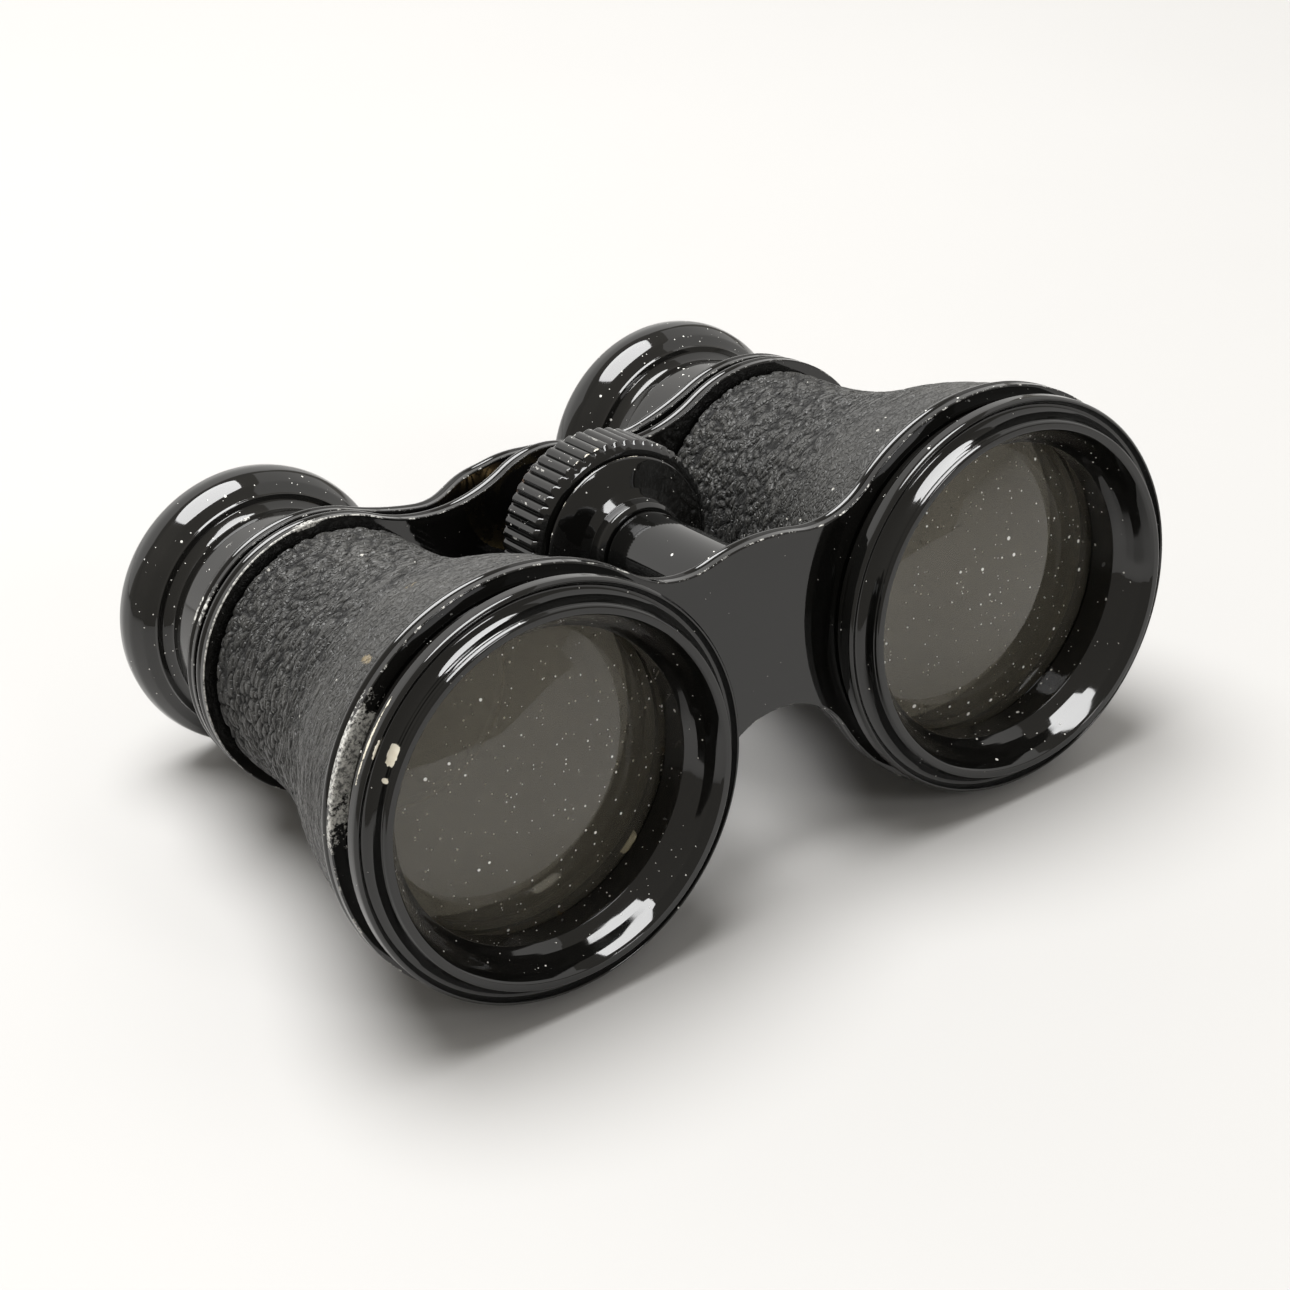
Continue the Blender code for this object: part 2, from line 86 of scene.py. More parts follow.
COLUMN_BACK = 26.6
WHEEL_R = 12.2
WHEEL_TEETH = 54
WHEEL_FRONT = 31.0
WHEEL_BACK = 38.5
ROD_R = 2.5
THREAD_PITCH = 1.0
THREAD_STARTS = 5

TILT = math.atan2(FRONT_FLANGE_R - EYECUP_R, EYECUP_RIM - PLATE_BACK)
# Moves the patterns of the right-hand pieces on, so that the two sides differ.
RIGHT_SHIFT = 130.0
ROUND = 224
SMALL_ROUND = 128


def find_place():
    """Matrix from the optical frame to the row frame, from where the CAD has the column."""
    low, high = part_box("column_tube")
    turn = Matrix.Rotation(-TILT, 4, "X")
    middle = Vector((0.0, (COLUMN_FRONT + COLUMN_BACK) / 2, COLUMN_Z)) * MM
    return Matrix.Translation((low + high) / 2 - turn @ middle) @ turn


PLACE = find_place()


# ---------------------------------------------------------------- profiles and outlines


def rounded(corners, closed=True):
    """Profile through (y, radius, fillet) corners, with an arc in place of each corner."""
    points = []
    count = len(corners)
    for i, (y, r, fillet) in enumerate(corners):
        here = Vector((y, r))
        if fillet <= 0 or (not closed and i in (0, count - 1)):
            points.append((y, r))
            continue
        before = Vector(corners[i - 1][:2]) - here
        after = Vector(corners[(i + 1) % count][:2]) - here
        room = 0.48 * min(before.length, after.length)
        before.normalize()
        after.normalize()
        turn = math.pi - before.angle(after)
        if turn < 0.02:
            points.append((y, r))
            continue
        reach = min(room, fillet * math.tan(turn / 2))
        radius = reach / math.tan(turn / 2)
        bisector = (before + after).normalized()
        centre = here + bisector * (radius / math.cos(turn / 2))
        start = here + before * reach - centre
        end = here + after * reach - centre
        pieces = max(2, math.ceil(turn / math.radians(13)))
        sweep = math.atan2(start.cross(end), start.dot(end))
        for k in range(pieces + 1):
            angle = sweep * k / pieces
            c, s = math.cos(angle), math.sin(angle)
            points.append((centre.x + start.x * c - start.y * s, centre.y + start.x * s + start.y * c))
    return refine(points, closed)


def refine(points, closed, longest=0.9):
    """Splits long stretches, so that shading and wear have points to sit on."""
    made = []
    ends = points[1:] + points[:1] if closed else points[1:]
    for (ya, ra), (yb, rb) in zip(points, ends):
        parts = max(1, math.ceil(math.hypot(yb - ya, rb - ra) / longest))
        for k in range(parts):
            made.append((ya + (yb - ya) * k / parts, ra + (rb - ra) * k / parts))
    if not closed:
        made.append(points[-1])
    return made


def hermite(y, start, end):
    span = end[0] - start[0]
    u = (y - start[0]) / span
    return (
        (2 * u**3 - 3 * u**2 + 1) * start[1]
        + (u**3 - 2 * u**2 + u) * span * start[2]
        + (3 * u**2 - 2 * u**3) * end[1]
        + (u**3 - u**2) * span * end[2]
    )


def barrel_radius(y):
    """Outside radius of the leather: a bell that runs into a straight waist."""
    front, middle, waist = BARREL_KNOTS
    if y >= waist[0]:
        return waist[1]
    if y >= middle[0]:
        return hermite(y, middle, waist)
    return hermite(max(y, front[0]), front, middle)


def arc(centre, radius, start, end, count):
    return [
        (
            centre[0] + radius * math.cos(start + (end - start) * i / count),
            centre[1] + radius * math.sin(start + (end - start) * i / count),
        )
        for i in range(count + 1)
    ]


def circle(centre, radius, count):
    return arc(centre, radius, 0.0, 2 * math.pi, count)[:-1]


def figure_of_eight(flange, dip, top, apex):
    """Outline of a plate that rings both barrels, made of arcs that touch one another."""
    across = HALF_SPACING - dip[0]
    hollow = (across**2 + dip[1] ** 2 - flange**2) / (2 * (flange - dip[1]))
    rise = dip[1] + hollow - top
    hump = (dip[0] ** 2 + rise**2 - hollow**2) / (2 * (hollow - rise))
    arch = (HALF_SPACING**2 + apex**2 - flange**2) / (2 * (flange + apex))
    hollow_centre = (dip[0], dip[1] + hollow)
    hump_centre = (0.0, top - hump)
    arch_centre = (0.0, apex - arch)
    to_hollow = math.atan2(hollow_centre[1], hollow_centre[0] - HALF_SPACING)
    to_arch = math.atan2(arch_centre[1], -HALF_SPACING)
    join = math.atan2(hump_centre[1] - hollow_centre[1], -hollow_centre[0])
    low = -math.pi / 2
    half = arc(arch_centre, arch, math.pi / 2, to_arch + math.pi, 28)[:-1]
    half += arc((HALF_SPACING, 0.0), flange, to_arch, low, 24)[:-1]
    half += arc((HALF_SPACING, 0.0), flange, low, to_hollow, 120)
    half += arc(hollow_centre, hollow, to_hollow - math.pi, join, 36)[1:]
    half += arc(hump_centre, hump, join + math.pi, math.pi / 2, 14)[1:]
    return half + [(-x, z) for x, z in reversed(half[1:-1])]


# ---------------------------------------------------------------- meshes


def finish_piece(name, mesh, at, look, body, stands_for, hard=32):
    """Keeps each point's place about the piece's own axis for its look, then sets the piece down."""
    count = len(mesh.vertices)
    points = np.empty(count * 3, np.float32)
    mesh.vertices.foreach_get("co", points)
    own = points.reshape(-1, 3) / MM
    own[:, 1] += RIGHT_SHIFT if at[0] > 0 else 0.0
    place = mesh.attributes.new("place", "FLOAT_VECTOR", "POINT")
    place.data.foreach_set("vector", own.ravel())
    mesh.transform(PLACE @ Matrix.Translation((at[0] * MM, 0.0, at[1] * MM)))
    mesh.shade_smooth()
    mesh.set_sharp_from_angle(angle=math.radians(hard))
    mesh.materials.append(look)
    obj = bpy.data.objects.new(name, mesh)
    bpy.context.scene.collection.objects.link(obj)
    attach(obj, body)
    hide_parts(*stands_for)
    return obj


def set_attribute(mesh, name, values):
    made = mesh.attributes.new(name, "FLOAT", "POINT")
    made.data.foreach_set("value", np.asarray(values, np.float32).ravel())


def lathe(name, profile, at, look, body, stands_for, steps=ROUND, closed=True, swell=None,
          paint=None, hard=32):
    """A turned piece. profile lists (y, radius), outer side front to back and inner side back to
    front. swell(y, radius, angle) is added to the radius. paint gives the attributes that the
    look reads, each as a function of the same three."""
    y, r = np.array(profile, float).T
    angle = np.arange(steps) * 2 * math.pi / steps
    yy, aa = np.meshgrid(y, angle, indexing="ij")
    rr = np.repeat(r[:, None], steps, axis=1)
    if swell is not None:
        rr = np.maximum(0.0, rr + swell(yy, rr, aa))
    points = np.stack([rr * np.cos(aa), yy, rr * np.sin(aa)], axis=-1).reshape(-1, 3) * MM
    count = len(y)
    rings = count if closed else count - 1
    i, j = np.meshgrid(np.arange(rings), np.arange(steps), indexing="ij")
    after_i, after_j = (i + 1) % count, (j + 1) % steps
    corners = [i * steps + j, i * steps + after_j, after_i * steps + after_j, after_i * steps + j]
    faces = np.stack(corners, axis=-1).reshape(-1, 4)
    mesh = bpy.data.meshes.new(name)
    mesh.from_pydata(points.tolist(), [], faces.tolist())
    for label, amount in (paint or {}).items():
        set_attribute(mesh, label, np.broadcast_to(amount(yy, rr, aa), yy.shape))
    shape = bmesh.new()
    shape.from_mesh(mesh)
    if not closed:
        bmesh.ops.remove_doubles(shape, verts=shape.verts, dist=1e-7)
    bmesh.ops.recalc_face_normals(shape, faces=shape.faces)
    shape.to_mesh(mesh)
    shape.free()
    return finish_piece(name, mesh, at, look, body, stands_for, hard)


def bow(x):
    """How far back the eyepiece plate stands at each x: it bows back between the barrels."""
    share = np.clip((np.abs(x) - EYE_BOW_FLAT) / (EYE_BOW_REACH - EYE_BOW_FLAT), 0.0, 1.0)
    return EYE_BOW * (1 + np.cos(math.pi * share)) / 2


def spare_points(loops):
    """Points on a 1 mm by 2 mm grid between an outer loop and its holes, clear of all of them."""
    outer, *holes = [[Vector(point) for point in loop] for loop in loops]
    rims = np.concatenate([np.array(loop, float) for loop in loops])
    found = []
    for x in np.arange(-EYE_BOW_REACH, EYE_BOW_REACH + 0.5, 1.0):
        for z in np.arange(-20.0, 20.0, 2.0):
            point = Vector((x, z))
            clear = np.hypot(rims[:, 0] - x, rims[:, 1] - z).min() > 0.8
            if clear and inside(point, outer) and not any(inside(point, hole) for hole in holes):
                found.append((x, z))
    return found


def plate(name, outline, holes, section, look, body, stands_for, paint, bend=None):
    """A plate whose edge follows section, (y, inset) from the front face to the back face.
    paint gives the attributes that the look reads, as functions of y, inset, x and z.
    bend(x) sets the plate back by that much."""
    line = np.array(outline, float)
    ahead, behind = np.roll(line, -1, axis=0), np.roll(line, 1, axis=0)
    along = ahead - behind
    along /= np.linalg.norm(along, axis=1)[:, None]
    inward = np.stack([-along[:, 1], along[:, 0]], axis=1)
    area = np.sum(line[:, 0] * ahead[:, 1] - ahead[:, 0] * line[:, 1])
    inward *= 1 if area > 0 else -1
    loops = [line + inward * inset for _, inset in section]
    count = len(line)
    rings = [np.column_stack([loop[:, 0], np.full(count, y), loop[:, 1]])
             for loop, (y, _) in zip(loops, section)]
    points = [p for ring in rings for p in ring.tolist()]
    faces = []
    for i in range(len(section) - 1):
        for j in range(count):
            k = (j + 1) % count
            faces.append([i * count + j, i * count + k, (i + 1) * count + k, (i + 1) * count + j])
    front, back = section[0][0], section[-1][0]
    hole_start = len(points)
    for hole in holes:
        points += [(x, front, z) for x, z in hole]
        points += [(x, back, z) for x, z in hole]
    base = hole_start
    front_loops, back_loops = [list(range(count))], [list(range((len(section) - 1) * count, len(section) * count))]
    for hole in holes:
        size = len(hole)
        for j in range(size):
            k = (j + 1) % size
            faces.append([base + j, base + k, base + size + k, base + size + j])
        front_loops.append(list(range(base, base + size)))
        back_loops.append(list(range(base + size, base + 2 * size)))
        base += 2 * size
    for depth, loops_here in ((front, front_loops), (back, back_loops)):
        spare = []
        if bend is not None:
            flat = [[(points[i][0], points[i][2]) for i in loop] for loop in loops_here]
            made = spare_points(flat)
            spare = list(range(len(points), len(points) + len(made)))
            points += [(px, depth, pz) for px, pz in made]
        faces += fill(points, loops_here, spare)
    set_back = np.zeros(len(points)) if bend is None else bend(np.array(points)[:, 0])
    mesh = bpy.data.meshes.new(name)
    mesh.from_pydata([(x * MM, (y + b) * MM, z * MM) for (x, y, z), b in zip(points, set_back)], [], faces)
    insets = np.full(len(points), section[0][1])
    insets[:hole_start] = np.repeat([inset for _, inset in section], count)
    x, y, z = np.array(points).T
    for label, amount in paint.items():
        set_attribute(mesh, label, np.broadcast_to(amount(y, insets, x, z), x.shape))
    shape = bmesh.new()
    shape.from_mesh(mesh)
    bmesh.ops.recalc_face_normals(shape, faces=shape.faces)
    shape.to_mesh(mesh)
    shape.free()
    return finish_piece(name, mesh, (0.0, 0.0), look, body, stands_for)


def fill(points, loops, spare):
    """Triangles between an outer loop and its holes, all in one plane of constant y, that also
    pass through the spare points."""
    index = [i for loop in loops for i in loop] + spare
    flat = [Vector((points[i][0], points[i][2])) for i in index]
    place = {vertex: n for n, vertex in enumerate(index)}
    edges = []
    for loop in loops:
        edges += [(place[a], place[b]) for a, b in zip(loop, loop[1:] + loop[:1])]
    _, _, triangles, *_ = delaunay_2d_cdt(flat, edges, [], 0, 1e-7)
    outer = [flat[place[i]] for i in loops[0]]
    holes = [[flat[place[i]] for i in loop] for loop in loops[1:]]
    kept = []
    for triangle in triangles:
        middle = (flat[triangle[0]] + flat[triangle[1]] + flat[triangle[2]]) / 3
        if inside(middle, outer) and not any(inside(middle, hole) for hole in holes):
            kept.append([index[n] for n in triangle])
    return kept


def inside(point, loop):
    line = np.array([(p.x, p.y) for p in loop])
    ahead = np.roll(line, -1, axis=0)
    crosses = (line[:, 1] > point.y) != (ahead[:, 1] > point.y)
    with np.errstate(divide="ignore", invalid="ignore"):
        x = (ahead[:, 0] - line[:, 0]) * (point.y - line[:, 1]) / (ahead[:, 1] - line[:, 1]) + line[:, 0]
    return bool(np.count_nonzero(crosses & (point.x < x)) % 2)


# ---------------------------------------------------------------- materials


class Look:
    """A material with short calls for its nodes. A socket given as a value is linked."""

    def __init__(self, name):
        self.material = bpy.data.materials.new(name)
        self.material.use_nodes = True
        self.tree = self.material.node_tree
        self.shader = self.tree.nodes["Principled BSDF"]

    def add(self, kind, values=(), **settings):
        node = self.tree.nodes.new("ShaderNode" + kind)
        for key, value in settings.items():
            setattr(node, key, value)
        self.fill(node, dict(values))
        return node

    def fill(self, node, values):
        for key, value in values.items():
            socket = node.inputs[key]
            if isinstance(value, bpy.types.NodeSocket):
                self.tree.links.new(value, socket)
            else:
                socket.default_value = value

    def set(self, **values):
        """Sets the shader's sockets: Base_Color=... stands for Base Color."""
        self.fill(self.shader, {key.replace("_", " "): value for key, value in values.items()})

    def place(self, scale=(1.0, 1.0, 1.0)):
        """Coordinates in millimetres of the optical frame, about the piece's own axis."""
        coordinates = self.add("Attribute", attribute_name="place").outputs["Vector"]
        return self.add("Mapping", {"Vector": coordinates, "Scale": scale}).outputs[0]

    def noise(self, where, scale, detail=3.0, roughness=0.55):
        values = {"Vector": where, "Scale": scale, "Detail": detail, "Roughness": roughness}
        return self.add("TexNoise", values).outputs["Fac"]

    def math(self, operation, a, b=0.0, clamp=False):
        return self.add("Math", {0: a, 1: b}, operation=operation, use_clamp=clamp).outputs[0]

    def range(self, value, low, high, to_low=0.0, to_high=1.0):
        values = {"Value": value, "From Min": low, "From Max": high, "To Min": to_low, "To Max": to_high}
        return self.add("MapRange", values, interpolation_type="SMOOTHSTEP").outputs[0]

    def mix(self, share, a, b):
        """Mix of two colours."""
        node = self.add("Mix", data_type="RGBA")
        self.fill(node, {"Factor": share})
        for socket, value in ((node.inputs[6], a), (node.inputs[7], b)):
            if isinstance(value, bpy.types.NodeSocket):
                self.tree.links.new(value, socket)
            else:
                socket.default_value = (*value, 1.0)
        return node.outputs[2]

    def radius(self, where):
        """Distance from the piece's own axis."""
        parts = self.add("SeparateXYZ", {0: where})
        across = self.math("MULTIPLY", parts.outputs[0], parts.outputs[0])
        up = self.math("MULTIPLY", parts.outputs[2], parts.outputs[2])
        return self.math("SQRT", self.math("ADD", across, up))

    def attribute(self, name):
        return self.add("Attribute", attribute_name=name).outputs["Fac"]

    def specks(self, where, scale, size, share):
        """Small round dots in a share of the cells of a Voronoi texture."""
        cells = self.add("TexVoronoi", {"Vector": where, "Scale": scale, "Randomness": 1.0})
        chance = self.add("SeparateColor", {"Color": cells.outputs["Color"]})
        present = self.math("LESS_THAN", chance.outputs[0], share)
        reach = self.math("MULTIPLY", chance.outputs[1], size)
        dot = self.math("LESS_THAN", cells.outputs["Distance"], reach)
        return self.math("MULTIPLY", present, dot)

    def bump(self, height, strength, distance):
        values = {"Height": height, "Strength": strength, "Distance": distance * MM}
        return self.add("Bump", values).outputs[0]


def lacquer_look():
    """Gloss black lacquer. It reads four attributes: wear shows pale undercoat, bare shows grey
    metal, which on the focus wheel's rib crests is also a painted highlight, rust shows brown
    brass, and dust sets how many specks lie on it."""
    look = Look("black_lacquer")
    where = look.place()
    patchy = look.noise(where, 0.55, 6.0, 0.7)
    broken = look.noise(where, 2.6, 4.0, 0.7)
    ragged = look.math("ADD", look.math("MULTIPLY", patchy, 0.75), look.math("MULTIPLY", broken, 0.35))
    chipped = look.range(look.math("ADD", look.attribute("wear"), ragged), 1.22, 1.26)
    stripped = look.range(look.math("ADD", look.attribute("bare"), ragged), 1.20, 1.30)
    rusted = look.range(look.math("ADD", look.attribute("rust"), ragged), 1.20, 1.30)
    dirty = look.attribute("dust")
    fine = look.specks(where, 1.5, 0.15, look.math("MULTIPLY", dirty, 0.6))
    coarse = look.specks(where, 0.62, 0.13, look.math("MULTIPLY", dirty, 0.45))
    specks = look.math("MAXIMUM", fine, coarse)
    film = look.math("MULTIPLY", look.noise(where, 0.12, 5.0), dirty)
    base = look.mix(film, (0.0030, 0.0030, 0.0028), (0.011, 0.0105, 0.0095))
    # Grey metal where bare; on the focus wheel's rib crests this is also a painted highlight.
    tarnish = look.mix(look.range(broken, 0.35, 0.62), (0.10, 0.10, 0.095), (0.62, 0.61, 0.57))
    base = look.mix(stripped, base, tarnish)
    base = look.mix(rusted, base, (0.24, 0.10, 0.03))
    undercoat = look.mix(patchy, (0.50, 0.44, 0.31), (0.80, 0.77, 0.68))
    base = look.mix(chipped, base, undercoat)
    base = look.mix(specks, base, (0.72, 0.71, 0.67))
    lost = look.math("MAXIMUM", chipped, look.math("MAXIMUM", stripped, rusted))
    smear = look.range(look.noise(where, 0.25, 4.0), 0.35, 0.75, 0.03, 0.09)
    rough = look.math("ADD", smear, look.math("MULTIPLY", lost, 0.35))
    rough = look.math("ADD", rough, look.math("MULTIPLY", specks, 0.6), clamp=True)
    wave = look.noise(where, 0.18, 2.0)
    height = look.math("ADD", look.math("MULTIPLY", wave, 0.6), look.math("MULTIPLY", lost, -0.8))
    height = look.math("ADD", height, look.math("MULTIPLY", specks, 0.5))
    look.set(Base_Color=base, Roughness=rough, Normal=look.bump(height, 0.35, 0.05))
    look.set(IOR=1.6)
    return look.material


def leather_look():
    """Crinkled black leather. It reads two attributes: fold is the height of the wrinkles that
    are in the mesh, and scuff shows brown marks. From fold the colour is painted lighter on the
    fold tops, as painted sheen, and near black in the creases, as painted shade."""
    look = Look("black_leather")
    where = look.place()
    fold = look.attribute("fold")
    warp = look.add("TexNoise", {"Vector": where, "Scale": 0.5, "Detail": 2.0}).outputs["Color"]
    bent = look.add("VectorMath", {0: warp, 1: (1.6, 1.6, 1.6)}, operation="MULTIPLY").outputs[0]
    moved = look.add("VectorMath", {0: where, 1: bent}, operation="ADD").outputs[0]
    cells = look.add("Mapping", {"Vector": moved, "Scale": (1.3, 2.6, 1.3)}).outputs[0]
    grain = look.add("TexVoronoi", {"Vector": cells, "Scale": 1.0}, feature="DISTANCE_TO_EDGE")
    pebbles = look.range(grain.outputs["Distance"], 0.0, 0.22)
    soft = look.noise(where, 1.3, 6.0, 0.65)
    height = look.math("ADD", look.math("MULTIPLY", pebbles, 0.8), look.math("MULTIPLY", soft, 0.9))
    faded = look.range(look.noise(where, 0.09, 5.0, 0.6), 0.42, 0.72)
    # Painted sheen: the fold tops are painted lighter, where light would catch them.
    painted_sheen_tops = look.math("MULTIPLY", fold, look.range(soft, 0.3, 0.7, 0.6, 1.0))
    base = look.mix(look.math("MULTIPLY", painted_sheen_tops, pebbles), (0.010, 0.0099, 0.0092), (0.048, 0.0475, 0.0445))
    base = look.mix(look.math("MULTIPLY", faded, 0.30), base, (0.070, 0.068, 0.061))
    # Painted shade: the creases between the folds are painted near black.
    base = look.mix(look.range(fold, 0.15, 0.75), (0.0020, 0.0020, 0.0019), base)
    marks = look.range(look.math("ADD", look.attribute("scuff"), soft), 1.05, 1.25)
    base = look.mix(look.math("MULTIPLY", marks, 0.8), base, (0.23, 0.18, 0.10))
    specks = look.specks(where, 0.55, 0.12, 0.25)
    base = look.mix(specks, base, (0.5, 0.49, 0.45))
    rough = look.range(soft, 0.3, 0.7, 0.33, 0.50)
    rough = look.math("ADD", rough, look.range(fold, 0.15, 0.75, 0.45, 0.0), clamp=True)
    look.set(Base_Color=base, Roughness=rough, Normal=look.bump(height, 0.9, 0.14))
    look.set(IOR=1.5)
    return look.material


def glass_look(name, haze):
    look = Look(name)
    where = look.place()
    fine = look.specks(where, 0.62, 0.15, 0.75)
    tiny = look.specks(where, 1.3, 0.14, 0.45)
    specks = look.math("MAXIMUM", fine, tiny)
    bloom = look.range(look.noise(where, 0.08, 4.0), 0.3, 0.75, 0.7 * haze, haze)
    veil = look.math("MAXIMUM", bloom, look.math("MULTIPLY", specks, 0.9))
    base = look.mix(specks, (0.74, 0.69, 0.56), (0.95, 0.94, 0.90))
    rim = look.math("GREATER_THAN", look.radius(where), 18.2)
    base = look.mix(rim, base, (0.01, 0.01, 0.009))
    veil = look.math("MAXIMUM", veil, rim)
    clear = look.math("SUBTRACT", 1.0, veil)
    look.set(Base_Color=base, Transmission_Weight=clear, Roughness=0.0)
    look.set(IOR=1.52)
    return look.material


def metal_look(name, colour, rough, dull=0.5):
    look = Look(name)
    where = look.place()
    rings = look.noise(look.place((0.02, 9.0, 0.02)), 1.0, 3.0)
    stain = look.range(look.noise(where, 0.4, 5.0, 0.65), 0.4, 0.7)
    dark = tuple(c * dull for c in colour)
    base = look.mix(stain, colour, dark)
    finish = look.range(stain, 0.0, 1.0, rough, min(1.0, rough + 0.22))
    look.set(Base_Color=base, Roughness=finish, Metallic=1.0, Normal=look.bump(rings, 0.3, 0.03))
    return look.material


def matt_black_look():
    look = Look("matt_black")
    where = look.place()
    mottle = look.noise(where, 0.8, 5.0)
    base = look.mix(mottle, (0.010, 0.009, 0.007), (0.030, 0.027, 0.020))
    look.set(Base_Color=base, Roughness=look.range(mottle, 0.2, 0.8, 0.55, 0.8))
    look.set(Normal=look.bump(mottle, 0.3, 0.05))
    return look.material


def draw_tube_look():
    """Plain brass outside and blackened inside."""
    look = Look("draw_tube_brass")
    where = look.place()
    outside = look.math("GREATER_THAN", look.radius(where), 12.3)
    streaks = look.noise(look.place((0.5, 0.12, 0.5)), 1.0, 5.0)
    brass = look.mix(streaks, (0.58, 0.44, 0.20), (0.36, 0.25, 0.11))
    look.set(Base_Color=look.mix(outside, (0.015, 0.014, 0.012), brass), Metallic=outside)
    look.set(Roughness=look.range(outside, 0.0, 1.0, 0.7, 0.26))
    look.set(Normal=look.bump(streaks, 0.2, 0.03))
    return look.material


def table_look():
    look = Look("pale_table")
    coordinates = look.add("TexCoord").outputs["Object"]
    broad = look.noise(coordinates, 6.0, 5.0)
    base = look.mix(broad, (0.415, 0.409, 0.400), (0.44, 0.434, 0.425))
    look.set(Base_Color=base, Roughness=0.55)
    look.set(Normal=look.bump(look.noise(coordinates, 900.0, 4.0), 0.05, 0.1))
    return look.material


LACQUER = lacquer_look()
LEATHER = leather_look()
GLASS = glass_look("objective_glass", 0.07)
EYE_GLASS = glass_look("eyepiece_glass", 0.02)
BRASS = metal_look("turned_brass", (0.62, 0.47, 0.21), 0.24)
GREASED = metal_look("greased_brass", (0.16, 0.11, 0.05), 0.4)
BLACKENED = matt_black_look()
DRAWN = draw_tube_look()


# ---------------------------------------------------------------- wear and dust


def near(values, middle, width):
    return np.exp(-(((values - middle) / width) ** 2))


def line_wear(y, r, middle_y, middle_r, width, strength):
    """Wear that is strongest on one circle of a turned piece."""
    distance = np.hypot(y - middle_y, r - middle_r)
    return strength * np.exp(-((distance / width) ** 2))


def spot(y, r, angle, place, size):
    """One chip at (y, clock) of a turned piece, size in millimetres along the axis and round it."""
    away = (np.degrees(angle) - place[1] + 180) % 360 - 180
    across = np.radians(away) * r
    return np.exp(-(((y - place[0]) / size[0]) ** 4) - (across / size[1]) ** 4)


def clock(angle, middle, width):
    """Share of a stretch of the circle around one angle, in degrees from +X towards +Z."""
    away = np.degrees(angle) - middle
    away = (away + 180) % 360 - 180
    return np.exp(-((away / width) ** 2))


# ---------------------------------------------------------------- pieces of the body


def objective_end(side, x):
    at = (x, 0.0)
    bezel = rounded([
        (LIP_FRONT, 20.95, 0.35),
        (-2.05, 21.12, 0.08),
        (-1.95, 21.0, 0.06),
        (-1.85, 21.12, 0.08),
        (-1.5, 21.2, 1.5),
        (-1.1, 21.33, 1.5),
        (-0.75, 21.5, 1.5),
        (-0.45, 21.72, 1.0),
        (-0.15, 22.15, 0.5),
        (-0.15, 22.5, 0.15),
        (-0.8, 23.05, 0.15),
        (-0.4, 23.38, 0.4),
        (0.05, 23.4, 0.5),
        (0.25, 23.4, 0),
        (0.45, 23.4, 0),
        (0.65, 23.4, 0),
        (0.9, 23.4, 0.4),
        (1.25, 22.9, 0.35),
        (1.9, 22.35, 0.8),
        (2.7, 22.05, 0.6),
        (3.3, 22.05, 0.05),
        (3.3, 19.7, 0),
        (13.9, 19.7, 0),
        (13.9, 18.8, 0),
        (5.9, 18.8, 0),
        (5.5, 17.85, 0.1),
        (2.15, 17.85, 0.06),
        (2.0, 17.6, 0.08),
        (1.75, 17.62, 0.2),
        (0.85, 18.3, 0.8),
        (0.5, 18.53, 1.2),
        (-0.3, 18.97, 3.0),
        (-1.4, 19.5, 3.0),
        (-2.2, 19.94, 0.4),
        (LIP_FRONT, 20.15, 0.2),
    ])

    def wear(y, r, a):
        made = line_wear(y, r, LIP_FRONT, 20.5, 0.25, 0.15)
        if side == "left":
            band = near(y, 0.4, 0.33) * (r > 23.0) * clock(a, 145, 24)
            made += 0.85 * band + 0.95 * spot(y, r, a, (-1.2, 145.5), (0.75, 1.6)) * (r > 20.6)
            made += 0.95 * spot(y, r, a, (-1.3, 152.5), (0.6, 0.6)) * (r > 20.6)
        return made

    def dust(y, r, a):
        inner = np.where((r < 19.5) & (y < 6.0), 0.35 + 0.5 * clock(a, -60, 60), 0.0)
        back = np.where((y > 1.3) & (r > 21.5), 0.8, 0.0)
        return 0.15 + inner + back

    lathe("objective_ring_" + side, bezel, at, LACQUER, "body",
          ["objective_ring_" + side], paint={"wear": wear, "dust": dust})
    lens = []
    radius = (18.4**2 + 2.5**2) / (2 * 2.5)
    for i in range(41):
        r = 18.4 * i / 40
        lens.append((3.6 + radius - math.sqrt(radius**2 - r**2), r))
    edge = [(12.0, 18.4), (12.2, 18.2)]
    back = [(12.2, 18.2 * (1 - i / 20)) for i in range(1, 21)]
    lathe("objective_doublet_" + side, lens + edge + back, at, GLASS, "body",
          ["objective_crown_" + side, "objective_flint_" + side], closed=False)
    keeper = rounded([(12.6, 18.4, 0.05), (13.7, 18.4, 0.05), (13.7, 17.3, 0.1), (12.6, 17.3, 0.1)])
    lathe("objective_retainer_" + side, keeper, at, BLACKENED, "body",
          ["objective_retainer_" + side])


def wrinkle_height(y, angle):
    """Height of the leather's wrinkles at one point, from 0 in a crease to 1 on a fold's top."""
    where = Vector((18.0 * math.cos(angle), y * 2.3, 18.0 * math.sin(angle)))
    drift = noise.noise_vector(where * 0.13) * 2.6 + noise.noise_vector(where * 0.5) * 0.5
    distances, _ = noise.voronoi((where + drift) * 0.40)
    share = min(1.0, (distances[1] - distances[0]) / 0.40)
    return share * (2.0 - share)


